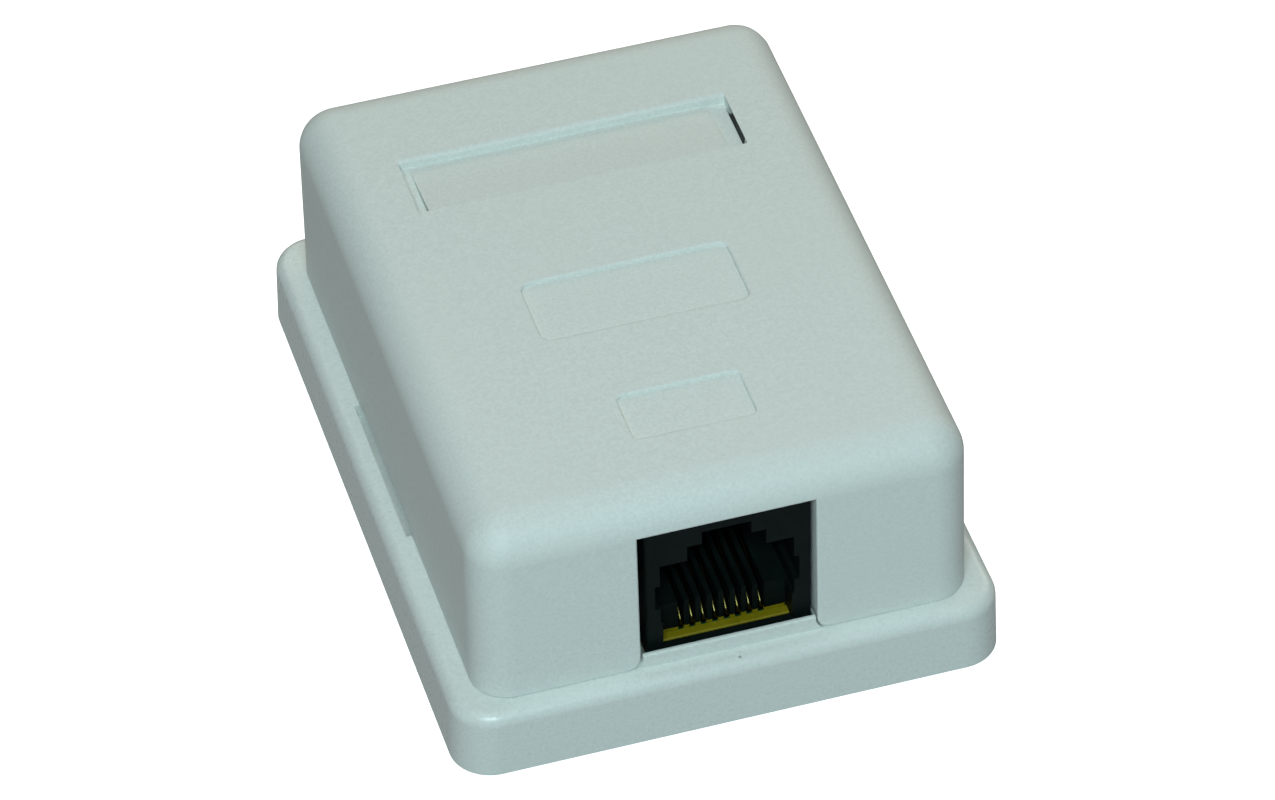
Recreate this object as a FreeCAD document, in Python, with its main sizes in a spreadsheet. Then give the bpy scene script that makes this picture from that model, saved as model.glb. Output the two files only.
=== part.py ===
import FreeCAD, Part
import math
import os
import Sketcher

# Surface mount jack box: a moulded base with a wide flange, a snap-on cover
# with a jack cut-out, and a circuit board that carries one 8P8C jack and two
# punch-down blocks. Millimetres. +Z points away from the wall, the jack faces
# -Y, X runs along the width. The origin is the middle of the base's back face.

V = FreeCAD.Vector
RECESS_SLOPE = 6.0     # slope of the shallow recesses' walls, from upright
doc = FreeCAD.newDocument("surface_mount_jack_box")
sheet = doc.addObject("Spreadsheet::Sheet", "Dims")

# alias, value, what it is
TABLE = [
    ("base_wide", 48.9, "base width"),
    ("base_long", 65.0, "base length"),
    ("base_high", 6.6, "top of the flange"),
    ("base_corner", 3.7, "plan corner radius of the base"),
    ("base_edge", 1.15, "round on the flange's top edge"),
    ("base_draft", 1.3, "draft of the flange's outer wall, degrees"),
    ("floor_thick", 2.2, "floor of the base"),
    ("bay_x", 18.6, "half width of the bay inside the rim"),
    ("bay_y", 26.4, "half length of the bay inside the rim"),
    ("rim_gap", 0.18, "clearance between the rim and the inside of the cover"),
    ("rim_top", 8.07, "top of the rim and of the sill"),
    ("core_in_x", 20.3, "coring groove under the flange, inner half width"),
    ("core_in_y", 28.2, "coring groove, inner half length"),
    ("core_out_x", 22.8, "coring groove, outer half width"),
    ("core_out_y", 30.85, "coring groove, outer half length"),
    ("core_deep", 4.2, "coring groove depth"),
    ("slot_half", 8.7, "half length of the pry slot"),
    ("slot_out", 22.46, "outer edge of the pry slot"),
    ("slot_in", 21.5, "inner edge of the pry slot's ledge"),
    ("slot_floor", 5.2, "height of the pry slot's ledge"),
    ("notch_high", 0.4, "height of the notch in the cover's foot over the pry slot"),
    ("notch_round", 0.3, "round on the cover's foot over the pry slot"),
    ("hook_long", 5.0, "length of the snap hook along the side"),
    ("cover_x", 22.0, "cover half width at its foot"),
    ("cover_top_x", 21.87, "cover half width at the top"),
    ("cover_front", 30.05, "cover front face at its top, distance from the middle"),
    ("cover_foot", 30.45, "cover front face at its foot, distance from the middle"),
    ("cover_rear", 29.75, "cover rear face, distance from the middle"),
    ("cover_top", 25.0, "top of the cover"),
    ("cover_corner", 3.3, "plan corner radius of the cover"),
    ("cover_round", 3.7, "round on the cover's top edge"),
    ("cover_wall", 1.85, "cover wall"),
    ("cover_lid", 1.8, "cover top thickness"),
    ("gate_half", 7.84, "jack cut-out half width"),
    ("gate_mid", 0.11, "how far the cut-out and the sill sit off centre"),
    ("gate_top", 21.45, "jack cut-out top"),
    ("gate_flare", 1.2, "radius at the cut-out's lower corners"),
    ("gate_gap", 0.18, "gap between sill and cover"),
    ("sill_front", 30.43, "sill front face, distance from the middle"),
    ("sill_thick", 0.5, "sill thickness in front of the jack"),
    ("label_half", 15.0, "label recess half width"),
    ("label_front", 11.45, "label recess front edge"),
    ("label_rear", 18.4, "label recess rear wall"),
    ("label_deep", 0.9, "label recess depth at the rear wall"),
    ("label_pit", 1.75, "width of the pit at the right end"),
    ("label_pit_left", 0.95, "width of the pit at the left end"),
    ("mid_half", 9.3, "middle recess half width"),
    ("mid_front", -7.8, "middle recess front edge"),
    ("mid_rear", -0.25, "middle recess rear edge"),
    ("mid_deep", 0.42, "middle recess depth"),
    ("small_half", 5.45, "small recess half width"),
    ("small_front", -21.9, "small recess front edge"),
    ("small_rear", -16.28, "small recess rear edge"),
    ("small_deep", 0.36, "small recess depth"),
    ("hole_rad", 2.0, "wall screw hole radius"),
    ("hole_x", 13.5, "wall screw holes, half spacing in X"),
    ("hole_y", 20.5, "wall screw holes, half spacing in Y"),
    ("pad_rad", 4.4, "raised pad round a wall screw hole"),
    ("entry_half", 8.0, "cable entry half width"),
    ("entry_front", 14.8, "cable entry front edge"),
    ("entry_rear", 24.2, "cable entry rear edge"),
    ("board_dx", 0.25, "how far the board and the jack sit off centre"),
    ("board_thick", 1.6, "board thickness"),
    ("board_top", 6.9, "top of the board"),
    ("board_half", 17.0, "board half width"),
    ("board_rear", 13.5, "board rear edge"),
    ("board_neck", 7.55, "half width of the board's neck under the jack"),
    ("board_nose", 6.85, "half width of the board's front end"),
    ("board_step", -10.6, "where the neck meets the wide part"),
    ("board_front", -28.7, "board front edge"),
    ("screw_y1", -7.2, "front board screw"),
    ("screw_y2", 10.4, "rear board screw"),
    ("jack_half", 7.32, "jack half width"),
    ("jack_offset", 0.12, "jack body's middle, to the right of its port's"),
    ("jack_face", -29.45, "jack front face"),
    ("jack_rear", -12.2, "jack rear face"),
    ("jack_top", 21.1, "jack top"),
    ("jack_base", 6.95, "jack underside"),
    ("port_half", 5.92, "plug cavity half width"),
    ("port_floor", 10.55, "plug cavity floor"),
    ("port_roof", 17.15, "plug cavity roof"),
    ("port_end", -16.2, "plug cavity rear wall"),
    ("relief_half", 6.38, "side relief half width"),
    ("relief_low", 12.15, "side relief lower edge"),
    ("relief_high", 14.85, "side relief upper edge"),
    ("latch_half", 3.48, "latch notch, wide step"),
    ("latch_top", 18.75, "latch notch, top of the wide step"),
    ("tip_half", 2.18, "latch notch, narrow step"),
    ("tip_top", 20.1, "latch notch, top of the narrow step"),
    ("comb_front", -27.45, "front ends of the comb ribs"),
    ("comb_slot", 0.56, "comb slot width"),
    ("pitch", 1.016, "contact pitch"),
    ("insert_half", 5.69, "contact carrier half width"),
    ("insert_top", 7.55, "top of the carrier plate"),
    ("bar_front", -28.65, "front of the carrier bar"),
    ("bar_rear", -27.85, "rear of the carrier bar"),
    ("bar_top", 7.66, "top of the carrier bar"),
    ("wire_rad", 0.23, "contact wire radius"),
    ("wire_low", 7.22, "height of the wire's lower run"),
    ("wire_bend", 0.6, "radius of the wire's front bend"),
    ("wire_nose", -26.75, "centre of the front bend"),
    ("wire_tip", -17.2, "free end of the wire"),
    ("tail_a", -16.3, "solder tails, first row"),
    ("tail_b", -13.8, "solder tails, second row"),
    ("tail_low", 4.3, "lower end of the solder tails"),
    ("block_x", 12.4, "punch-down block, distance of its middle from the board's"),
    ("block_wide", 6.4, "punch-down block width"),
    ("block_long", 19.2, "punch-down block length"),
    ("block_high", 11.6, "punch-down block height"),
    ("block_y", 1.2, "punch-down block middle"),
    ("block_pitch", 3.81, "punch-down wire pitch"),
    ("clip_thick", 0.4, "clip thickness"),
    ("clip_wide", 2.4, "clip width"),
]
for row, (alias, value, note) in enumerate(TABLE, start=1):
    sheet.set("A%d" % row, alias.replace("_", " "))
    sheet.set("B%d" % row, str(value))
    sheet.set("C%d" % row, note)
    sheet.setAlias("B%d" % row, alias)
doc.recompute()


class Dim:
    """A number that remembers how it is worked out from the sheet's cells."""

    def __init__(self, value, text):
        self.v = float(value)
        self.t = text

    @staticmethod
    def of(other):
        return other if isinstance(other, Dim) else Dim(other, repr(float(other)))

    def __add__(self, other):
        other = Dim.of(other)
        return Dim(self.v + other.v, "(%s + %s)" % (self.t, other.t))

    def __radd__(self, other):
        return Dim.of(other) + self

    def __sub__(self, other):
        other = Dim.of(other)
        return Dim(self.v - other.v, "(%s - %s)" % (self.t, other.t))

    def __rsub__(self, other):
        return Dim.of(other) - self

    def __mul__(self, other):
        other = Dim.of(other)
        return Dim(self.v * other.v, "(%s * %s)" % (self.t, other.t))

    def __rmul__(self, other):
        return Dim.of(other) * self

    def __truediv__(self, other):
        other = Dim.of(other)
        return Dim(self.v / other.v, "(%s / %s)" % (self.t, other.t))

    def __neg__(self):
        return Dim(-self.v, "(0 - %s)" % self.t)


class Cells:
    def __getattr__(self, alias):
        return Dim(float(sheet.get(alias)), "Dims." + alias)


D = Cells()
PLANES = {"XY": "XY_Plane", "XZ": "XZ_Plane", "YZ": "YZ_Plane"}
SUBPARTS = []


def new_body(label):
    body = doc.addObject("PartDesign::Body", label)
    body.Label = label
    SUBPARTS.append(body)
    return body


def sketch_on(body, plane, name, offset=None):
    """Empty sketch on one of the body's own origin planes, moved along its normal."""
    sk = body.newObject("Sketcher::SketchObject", name)
    role = PLANES[plane]
    sk.AttachmentSupport = [(f, "") for f in body.Origin.OriginFeatures if f.Role == role]
    sk.MapMode = "FlatFace"
    if offset is not None:
        offset = Dim.of(offset)
        # the XZ plane's normal points along -Y
        if plane == "XZ":
            offset = -offset
        sk.AttachmentOffset = FreeCAD.Placement(V(0, 0, offset.v), FreeCAD.Rotation())
        sk.setExpression("AttachmentOffset.Base.z", offset.t)
    return sk


def fix_point(sk, geo, pos, x, y):
    """Pins a point of the sketch at x, y measured from the sketch's origin."""
    for axis, dim in (("DistanceX", Dim.of(x)), ("DistanceY", Dim.of(y))):
        if abs(dim.v) < 1e-9:
            line = -2 if axis == "DistanceX" else -1
            sk.addConstraint(Sketcher.Constraint("PointOnObject", geo, pos, line))
        else:
            k = sk.addConstraint(Sketcher.Constraint(axis, -1, 1, geo, pos, dim.v))
            sk.setExpression("Constraints[%d]" % k, dim.t)


def polygon(sk, points):
    """Closed outline through points; every corner is pinned to the sheet."""
    first = sk.GeometryCount
    count = len(points)
    pts = [(Dim.of(x), Dim.of(y)) for x, y in points]
    for i in range(count):
        a, b = pts[i], pts[(i + 1) % count]
        sk.addGeometry(Part.LineSegment(V(a[0].v, a[1].v, 0), V(b[0].v, b[1].v, 0)), False)
    for i in range(count):
        sk.addConstraint(
            Sketcher.Constraint("Coincident", first + i, 2, first + (i + 1) % count, 1)
        )
    for i, (x, y) in enumerate(pts):
        fix_point(sk, first + i, 1, x, y)
    return first


def rectangle(sk, x0, y0, x1, y1):
    return polygon(sk, [(x0, y0), (x1, y0), (x1, y1), (x0, y1)])


def round_rectangle(sk, x0, y0, x1, y1, radius):
    """Rectangle with rounded corners; arc centres and radii are pinned."""
    x0, y0, x1, y1, r = (Dim.of(v) for v in (x0, y0, x1, y1, radius))
    corners = [
        (x0 + r, y0 + r, math.pi), (x1 - r, y0 + r, 1.5 * math.pi),
        (x1 - r, y1 - r, 0.0), (x0 + r, y1 - r, 0.5 * math.pi),
    ]
    arcs = []
    for cx_, cy_, start in corners:
        arcs.append(sk.addGeometry(Part.ArcOfCircle(
            Part.Circle(V(cx_.v, cy_.v, 0), V(0, 0, 1), r.v), start, start + 0.5 * math.pi), False))
    ends = [(x0 + r, y0, x1 - r, y0), (x1, y0 + r, x1, y1 - r), (x1 - r, y1, x0 + r, y1), (x0, y1 - r, x0, y0 + r)]
    for i, (ax, ay, bx_, by) in enumerate(ends):
        g = sk.addGeometry(Part.LineSegment(V(ax.v, ay.v, 0), V(bx_.v, by.v, 0)), False)
        sk.addConstraint(Sketcher.Constraint("Tangent", arcs[i], 2, g, 1))
        sk.addConstraint(Sketcher.Constraint("Tangent", g, 2, arcs[(i + 1) % 4], 1))
    for g, (cx_, cy_, start) in zip(arcs, corners):
        fix_point(sk, g, 3, cx_, cy_)
        k = sk.addConstraint(Sketcher.Constraint("Radius", g, r.v))
        sk.setExpression("Constraints[%d]" % k, r.t)
    return arcs


def circle(sk, x, y, radius):
    x, y, radius = Dim.of(x), Dim.of(y), Dim.of(radius)
    g = sk.addGeometry(Part.Circle(V(x.v, y.v, 0), V(0, 0, 1), radius.v), False)
    fix_point(sk, g, 3, x, y)
    k = sk.addConstraint(Sketcher.Constraint("Radius", g, radius.v))
    sk.setExpression("Constraints[%d]" % k, radius.t)
    return g


def pad(body, sk, length, reverse=False, midplane=False, taper=None):
    length = Dim.of(length)
    feature = body.newObject("PartDesign::Pad", sk.Name + "_pad")
    feature.Profile = sk
    feature.Length = length.v
    feature.setExpression("Length", length.t)
    feature.Reversed = reverse
    feature.Midplane = midplane
    if taper is not None:
        taper = Dim.of(taper)
        feature.TaperAngle = taper.v
        feature.setExpression("TaperAngle", taper.t)
    doc.recompute()
    return feature


def pocket(body, sk, length, reverse=False, midplane=False, taper=None):
    """Pocket that is checked to have cut something away."""
    length = Dim.of(length)
    before = body.Shape.Volume
    feature = body.newObject("PartDesign::Pocket", sk.Name + "_pocket")
    feature.Profile = sk
    feature.Length = length.v
    feature.setExpression("Length", length.t)
    feature.Reversed = reverse
    feature.Midplane = midplane
    if taper is not None:
        taper = Dim.of(taper)
        feature.TaperAngle = taper.v
        feature.setExpression("TaperAngle", taper.t)
    doc.recompute()
    if not feature.Shape.Volume < before - 1e-4:
        raise RuntimeError("%s cuts nothing" % feature.Name)
    return feature


def fillet(body, base, name, radius, choose, kind="PartDesign::Fillet"):
    """Round on the edges that choose(edge) picks; kind may be a chamfer."""
    radius = Dim.of(radius)
    names = [
        "Edge%d" % (i + 1) for i, e in enumerate(base.Shape.Edges) if choose(e)
    ]
    if not names:
        raise RuntimeError("%s finds no edge" % name)
    feature = body.newObject(kind, name)
    feature.Base = (base, names)
    prop = "Radius" if kind.endswith("Fillet") else "Size"
    setattr(feature, prop, radius.v)
    feature.setExpression(prop, radius.t)
    doc.recompute()
    if feature.Shape.isNull() or not feature.Shape.isValid():
        raise RuntimeError("%s fails" % name)
    return feature


def box_of(edge):
    return edge.BoundBox


def vertical(edge, low=0.5):
    """True for an edge that runs mostly along Z."""
    if len(edge.Vertexes) < 2:
        return False
    a, b = edge.Vertexes[0].Point, edge.Vertexes[-1].Point
    return abs(a.z - b.z) > low and math.hypot(a.x - b.x, a.y - b.y) < 0.1 * abs(a.z - b.z)


def mid(edge):
    p = edge.valueAt((edge.FirstParameter + edge.LastParameter) / 2.0)
    return p


# --------------------------------------------------------------------- base
# Flat floor, thick flange cored from the back, a rim that locates the cover,
# a sill that closes the foot of the jack cut-out, pry slots on both sides.
base = new_body("base")
sk = sketch_on(base, "XY", "base_outline")
rectangle(sk, -D.base_wide / 2, -D.base_long / 2, D.base_wide / 2, D.base_long / 2)
f = pad(base, sk, D.base_high, taper=-D.base_draft)
f = fillet(base, f, "base_corners", D.base_corner, lambda e: vertical(e, 3))
top = D.base_high.v
f = fillet(base, f, "base_top_edge", D.base_edge, lambda e: box_of(e).ZMin > top - 0.05)

# rim and, in front of it, the sill
sk = sketch_on(base, "XY", "base_rim", D.base_high)
rim_x = D.cover_x - D.cover_wall - D.rim_gap
rectangle(
    sk, -rim_x, -(D.cover_front - D.cover_wall - D.rim_gap),
    rim_x, D.cover_rear - D.cover_wall - D.rim_gap,
)
f = pad(base, sk, D.rim_top - D.base_high)
f = fillet(
    base, f, "rim_corners", 1.6,
    lambda e: vertical(e, 1) and abs(mid(e).x) > 19 and mid(e).z > top,
)
sk = sketch_on(base, "XY", "base_bay", D.rim_top)
rectangle(sk, -D.bay_x, -D.bay_y, D.bay_x, D.bay_y)
f = pocket(base, sk, D.rim_top - D.floor_thick)
f = fillet(
    base, f, "bay_corners", 1.0,
    lambda e: vertical(e, 3) and abs(abs(mid(e).x) - 18.6) < 0.1 and abs(abs(mid(e).y) - 26.4) < 0.1,
)

# sill: its flanks are concave and follow the rounded corners of the cover
sk = sketch_on(base, "XZ", "base_sill", -(D.sill_front - D.sill_thick / 2))
r = D.gate_flare + D.gate_gap
foot = math.sqrt(r.v ** 2 - (D.gate_flare.v + (D.base_high.v - D.base_high.v)) ** 2)
cx = D.gate_half + D.gate_flare
cz = D.base_high + D.gate_flare
low = D.base_high - 0.8
x_in = D.gate_half - D.gate_gap
gm = D.gate_mid
xl, xr = gm - x_in, gm + x_in
cl, cr = gm - cx, gm + cx
g0 = sk.addGeometry(Part.LineSegment(V(xl.v, D.rim_top.v, 0), V(xr.v, D.rim_top.v, 0)), False)
g1 = sk.addGeometry(Part.LineSegment(V(xr.v, D.rim_top.v, 0), V(xr.v, cz.v, 0)), False)
a_end = math.asin(-D.gate_flare.v / r.v)            # where the arc meets the flange top
reach = cx.v - math.sqrt(r.v ** 2 - D.gate_flare.v ** 2)
end_r = V(gm.v + reach, D.base_high.v, 0)
end_l = V(gm.v - reach, D.base_high.v, 0)
g2 = sk.addGeometry(Part.ArcOfCircle(Part.Circle(V(cr.v, cz.v, 0), V(0, 0, 1), r.v), math.pi, math.pi - a_end), False)
g3 = sk.addGeometry(Part.LineSegment(end_r, V(end_r.x, low.v, 0)), False)
g4 = sk.addGeometry(Part.LineSegment(V(end_r.x, low.v, 0), V(end_l.x, low.v, 0)), False)
g5 = sk.addGeometry(Part.LineSegment(V(end_l.x, low.v, 0), end_l), False)
g6 = sk.addGeometry(Part.ArcOfCircle(Part.Circle(V(cl.v, cz.v, 0), V(0, 0, 1), r.v), a_end, 0.0), False)
g7 = sk.addGeometry(Part.LineSegment(V(xl.v, cz.v, 0), V(xl.v, D.rim_top.v, 0)), False)
C = Sketcher.Constraint
sk.addConstraint(C("Coincident", g0, 2, g1, 1))
sk.addConstraint(C("Coincident", g1, 2, g2, 1))
sk.addConstraint(C("Coincident", g2, 2, g3, 1))
sk.addConstraint(C("Coincident", g3, 2, g4, 1))
sk.addConstraint(C("Coincident", g4, 2, g5, 1))
sk.addConstraint(C("Coincident", g5, 2, g6, 1))
sk.addConstraint(C("Coincident", g6, 2, g7, 1))
sk.addConstraint(C("Coincident", g7, 2, g0, 1))
fix_point(sk, g0, 1, xl, D.rim_top)
fix_point(sk, g0, 2, xr, D.rim_top)
fix_point(sk, g2, 3, cr, cz)
fix_point(sk, g6, 3, cl, cz)
k = sk.addConstraint(C("DistanceY", -1, 1, g2, 1, cz.v))
sk.setExpression("Constraints[%d]" % k, cz.t)
k = sk.addConstraint(C("DistanceX", -1, 1, g2, 1, xr.v))
sk.setExpression("Constraints[%d]" % k, xr.t)
k = sk.addConstraint(C("DistanceY", -1, 1, g6, 2, cz.v))
sk.setExpression("Constraints[%d]" % k, cz.t)
k = sk.addConstraint(C("DistanceX", -1, 1, g6, 2, xl.v))
sk.setExpression("Constraints[%d]" % k, xl.t)
k = sk.addConstraint(C("DistanceY", -1, 1, g3, 1, D.base_high.v))
sk.setExpression("Constraints[%d]" % k, D.base_high.t)
k = sk.addConstraint(C("DistanceY", -1, 1, g5, 2, D.base_high.v))
sk.setExpression("Constraints[%d]" % k, D.base_high.t)
sk.addConstraint(C("Vertical", g3))
sk.addConstraint(C("Vertical", g5))
sk.addConstraint(C("Horizontal", g4))
k = sk.addConstraint(C("DistanceY", -1, 1, g4, 1, low.v))
sk.setExpression("Constraints[%d]" % k, low.t)
doc.recompute()
f = pad(base, sk, D.sill_thick, midplane=True)
f = fillet(
    base, f, "sill_edge", 0.2,
    lambda e: abs(box_of(e).ZMin - D.rim_top.v) < 0.01 and abs(box_of(e).ZMax - D.rim_top.v) < 0.01
    and min(abs(mid(e).y + D.sill_front.v), abs(mid(e).y + D.sill_front.v - D.sill_thick.v)) < 0.01,
)

# room for the jack and the neck of the board, cut down into the flange
sk = sketch_on(base, "XY", "base_jack_gap", D.rim_top + 1)
rectangle(
    sk, D.board_dx - (D.board_neck + 0.25), -(D.sill_front - D.sill_thick),
    D.board_dx + D.board_neck + 0.25, -(D.bay_y - 0.5),
)
f = pocket(base, sk, D.rim_top + 1 - (D.board_top - D.board_thick) + 0.05)

# pry slots in the flange's inner edge, one on each long side: a ledge for the
# tool, and under the cover's wall an opening that lets the snap tongue through
for side, name in ((-1, "left"), (1, "right")):
    sk = sketch_on(base, "XY", "pry_slot_" + name, D.base_high)
    if side < 0:
        rectangle(sk, -D.slot_out, -D.slot_half, -D.core_in_x, D.slot_half)
    else:
        rectangle(sk, D.core_in_x, -D.slot_half, D.slot_out, D.slot_half)
    f = pocket(base, sk, D.base_high - D.slot_floor)
    sk = sketch_on(base, "XY", "tongue_slot_" + name, D.base_high)
    if side < 0:
        rectangle(sk, -D.slot_in, -D.slot_half, -D.core_in_x, D.slot_half)
    else:
        rectangle(sk, D.core_in_x, -D.slot_half, D.slot_in, D.slot_half)
    f = pocket(base, sk, D.base_high - D.core_deep + 0.3)

# coring groove all round under the flange
sk = sketch_on(base, "XY", "coring")
rectangle(sk, -D.core_out_x, -D.core_out_y, D.core_out_x, D.core_out_y)
rectangle(sk, -D.core_in_x, -D.core_in_y, D.core_in_x, D.core_in_y)
f = pocket(base, sk, D.core_deep, reverse=True)

# pads and bosses that stand on the floor
sk = sketch_on(base, "XY", "wall_screw_pads", D.floor_thick)
for sx in (-1, 1):
    for sy in (-1, 1):
        circle(sk, D.hole_x * sx, D.hole_y * sy, D.pad_rad)
f = pad(base, sk, 0.5)
board_low = D.board_top - D.board_thick
sk = sketch_on(base, "XY", "board_bosses", D.floor_thick)
circle(sk, 0, D.screw_y1, 2.7)
circle(sk, 0, D.screw_y2, 2.7)
for x, y in ((-14.6, -8.0), (14.6, -8.0), (-14.6, 11.2), (14.6, 11.2), (-5.2, -24.6), (5.2, -24.6)):
    circle(sk, x, y, 1.5)
f = pad(base, sk, board_low - D.floor_thick)

# gussets that tie the two screw bosses to the floor
sk = sketch_on(base, "XY", "boss_gussets", D.floor_thick)
rectangle(sk, -5.4, D.screw_y1 - 0.5, 5.4, D.screw_y1 + 0.5)
rectangle(sk, -5.4, D.screw_y2 - 0.5, 5.4, D.screw_y2 + 0.5)
f = pad(base, sk, 1.6)

sk = sketch_on(base, "XY", "wall_screw_holes", D.floor_thick + 2)
for sx in (-1, 1):
    for sy in (-1, 1):
        circle(sk, D.hole_x * sx, D.hole_y * sy, D.hole_rad)
f = pocket(base, sk, D.floor_thick + 3)
sk = sketch_on(base, "XY", "board_screw_pilots", board_low)
circle(sk, 0, D.screw_y1, 1.15)
circle(sk, 0, D.screw_y2, 1.15)
f = pocket(base, sk, board_low - 1.0)
sk = sketch_on(base, "XY", "cable_entry", D.floor_thick + 2)
rectangle(sk, -D.entry_half, D.entry_front, D.entry_half, D.entry_rear)
f = pocket(base, sk, D.floor_thick + 3)
f = fillet(
    base, f, "cable_entry_corners", 1.5,
    lambda e: vertical(e, 1.5) and abs(abs(mid(e).x) - D.entry_half.v) < 0.05
    and D.entry_front.v - 0.1 < mid(e).y < D.entry_rear.v + 0.1,
)

# -------------------------------------------------------------------- cover
cover = new_body("cover")
y_mid = (D.cover_rear - D.cover_foot) / 2
y_len = D.cover_rear + D.cover_foot
sk = sketch_on(cover, "XZ", "cover_section", y_mid)
polygon(
    sk,
    [(-D.cover_x, D.base_high), (D.cover_x, D.base_high), (D.cover_top_x, D.cover_top), (-D.cover_top_x, D.cover_top)],
)
f = pad(cover, sk, y_len, midplane=True)
# the front face leans back
sk = sketch_on(cover, "YZ", "cover_front_lean")
polygon(
    sk,
    [
        (-D.cover_foot, D.base_high), (-D.cover_front, D.cover_top), (-D.cover_front, D.cover_top + 1),
        (-D.cover_foot - 1, D.cover_top + 1), (-D.cover_foot - 1, D.base_high),
    ],
)
f = pocket(cover, sk, D.cover_x * 2 + 4, midplane=True)
f = fillet(cover, f, "cover_corners", D.cover_corner, lambda e: vertical(e, 10))
f = fillet(cover, f, "cover_top_round", D.cover_round, lambda e: box_of(e).ZMin > D.cover_top.v - 0.05)

# hollow
inner_x = D.cover_x - D.cover_wall
sk = sketch_on(cover, "XY", "cover_hollow", D.base_high)
rectangle(sk, -inner_x, -(D.cover_front - D.cover_wall), inner_x, D.cover_rear - D.cover_wall)
f = pocket(cover, sk, D.cover_top - D.cover_lid - D.base_high, reverse=True, taper=-0.5)
f = fillet(
    cover, f, "hollow_corners", 1.45,
    lambda e: vertical(e, 10) and abs(mid(e).x) < inner_x.v + 0.05 and abs(mid(e).y) < 28.4,
)
roof = D.cover_top.v - D.cover_lid.v
f = fillet(
    cover, f, "hollow_roof_round", 1.35,
    lambda e: abs(box_of(e).ZMin - roof) < 0.02 and abs(box_of(e).ZMax - roof) < 0.02,
)

# cut-out for the jack, open at the foot, with rounded lower corners
sk = sketch_on(cover, "XZ", "jack_gate", -(D.cover_front - 1))
low = D.base_high - 1
gx = D.gate_half
ox = D.gate_half + D.gate_flare
gl, gr = gm - gx, gm + gx
ol, og = gm - ox, gm + ox
g0 = sk.addGeometry(Part.LineSegment(V(gl.v, D.gate_top.v, 0), V(gr.v, D.gate_top.v, 0)), False)
g1 = sk.addGeometry(Part.LineSegment(V(gr.v, D.gate_top.v, 0), V(gr.v, cz.v, 0)), False)
g2 = sk.addGeometry(Part.ArcOfCircle(Part.Circle(V(og.v, cz.v, 0), V(0, 0, 1), D.gate_flare.v), math.pi, 1.5 * math.pi), False)
g3 = sk.addGeometry(Part.LineSegment(V(og.v, D.base_high.v, 0), V(og.v, low.v, 0)), False)
g4 = sk.addGeometry(Part.LineSegment(V(og.v, low.v, 0), V(ol.v, low.v, 0)), False)
g5 = sk.addGeometry(Part.LineSegment(V(ol.v, low.v, 0), V(ol.v, D.base_high.v, 0)), False)
g6 = sk.addGeometry(Part.ArcOfCircle(Part.Circle(V(ol.v, cz.v, 0), V(0, 0, 1), D.gate_flare.v), 1.5 * math.pi, 2 * math.pi), False)
g7 = sk.addGeometry(Part.LineSegment(V(gl.v, cz.v, 0), V(gl.v, D.gate_top.v, 0)), False)
for a, b in ((g0, g1), (g1, g2), (g2, g3), (g3, g4), (g4, g5), (g5, g6), (g6, g7), (g7, g0)):
    sk.addConstraint(C("Coincident", a, 2, b, 1))
fix_point(sk, g0, 1, gl, D.gate_top)
fix_point(sk, g0, 2, gr, D.gate_top)
fix_point(sk, g2, 1, gr, cz)
fix_point(sk, g2, 3, og, cz)
fix_point(sk, g6, 2, gl, cz)
fix_point(sk, g6, 3, ol, cz)
for geo, pos, x, y in ((g3, 1, og, D.base_high), (g5, 2, ol, D.base_high)):
    k = sk.addConstraint(C("DistanceX", -1, 1, geo, pos, x.v))
    sk.setExpression("Constraints[%d]" % k, x.t)
sk.addConstraint(C("Vertical", g3))
sk.addConstraint(C("Vertical", g5))
sk.addConstraint(C("Horizontal", g4))
k = sk.addConstraint(C("DistanceY", -1, 1, g4, 1, low.v))
sk.setExpression("Constraints[%d]" % k, low.t)
doc.recompute()
f = pocket(cover, sk, 4.4, midplane=True)

# label recess: the floor falls from flush at the front to its full depth at
# the rear wall, with a pit of constant depth at each end
sk = sketch_on(cover, "YZ", "label_ramp")
polygon(
    sk,
    [
        (D.label_front, D.cover_top), (D.label_rear, D.cover_top - D.label_deep),
        (D.label_rear, D.cover_top + 1), (D.label_front, D.cover_top + 1),
    ],
)
f = pocket(cover, sk, D.label_half * 2, midplane=True)
sk = sketch_on(cover, "XY", "label_pit_left", D.cover_top + 1)
rectangle(sk, -D.label_half, D.label_front, -D.label_half + D.label_pit_left, D.label_rear)
f = pocket(cover, sk, D.label_deep + 1)
sk = sketch_on(cover, "XY", "label_pit_right", D.cover_top + 1)
rectangle(sk, D.label_half - D.label_pit, D.label_front, D.label_half, D.label_rear)
f = pocket(cover, sk, D.label_deep + 0.15 + 1)
# slots in both end walls that take the tabs of a label window; the right one
# goes down through the lid
sk = sketch_on(cover, "YZ", "label_tab_slot_left", -(D.label_half + 0.5))
rectangle(sk, D.label_front + 0.9, D.cover_top - 0.86, D.label_rear - 0.75, D.cover_top - 0.2)
f = pocket(cover, sk, 1.1, midplane=True)
sk = sketch_on(cover, "YZ", "label_tab_slot_right", D.label_half + 0.55)
rectangle(sk, D.label_front + 0.85, D.cover_top - D.cover_lid - 0.2, D.label_rear - 0.7, D.cover_top - 0.12)
f = pocket(cover, sk, 1.3, midplane=True)

# two shallow recesses with steep walls
for name, half, y0, y1, deep, corner in (
    ("mid_recess", D.mid_half, D.mid_front, D.mid_rear, D.mid_deep, 0.9),
    ("small_recess", D.small_half, D.small_front, D.small_rear, D.small_deep, 0.7),
):
    sk = sketch_on(cover, "XY", name, D.cover_top)
    round_rectangle(sk, -half, y0, half, y1, corner)
    f = pocket(cover, sk, deep, taper=-RECESS_SLOPE)

# soft outer edges: round the gate, along the recesses


def front_at(z):
    """The front face's y at a height."""
    share = (z - D.base_high.v) / (D.cover_top.v - D.base_high.v)
    return -(D.cover_foot.v + (D.cover_front.v - D.cover_foot.v) * share)


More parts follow.
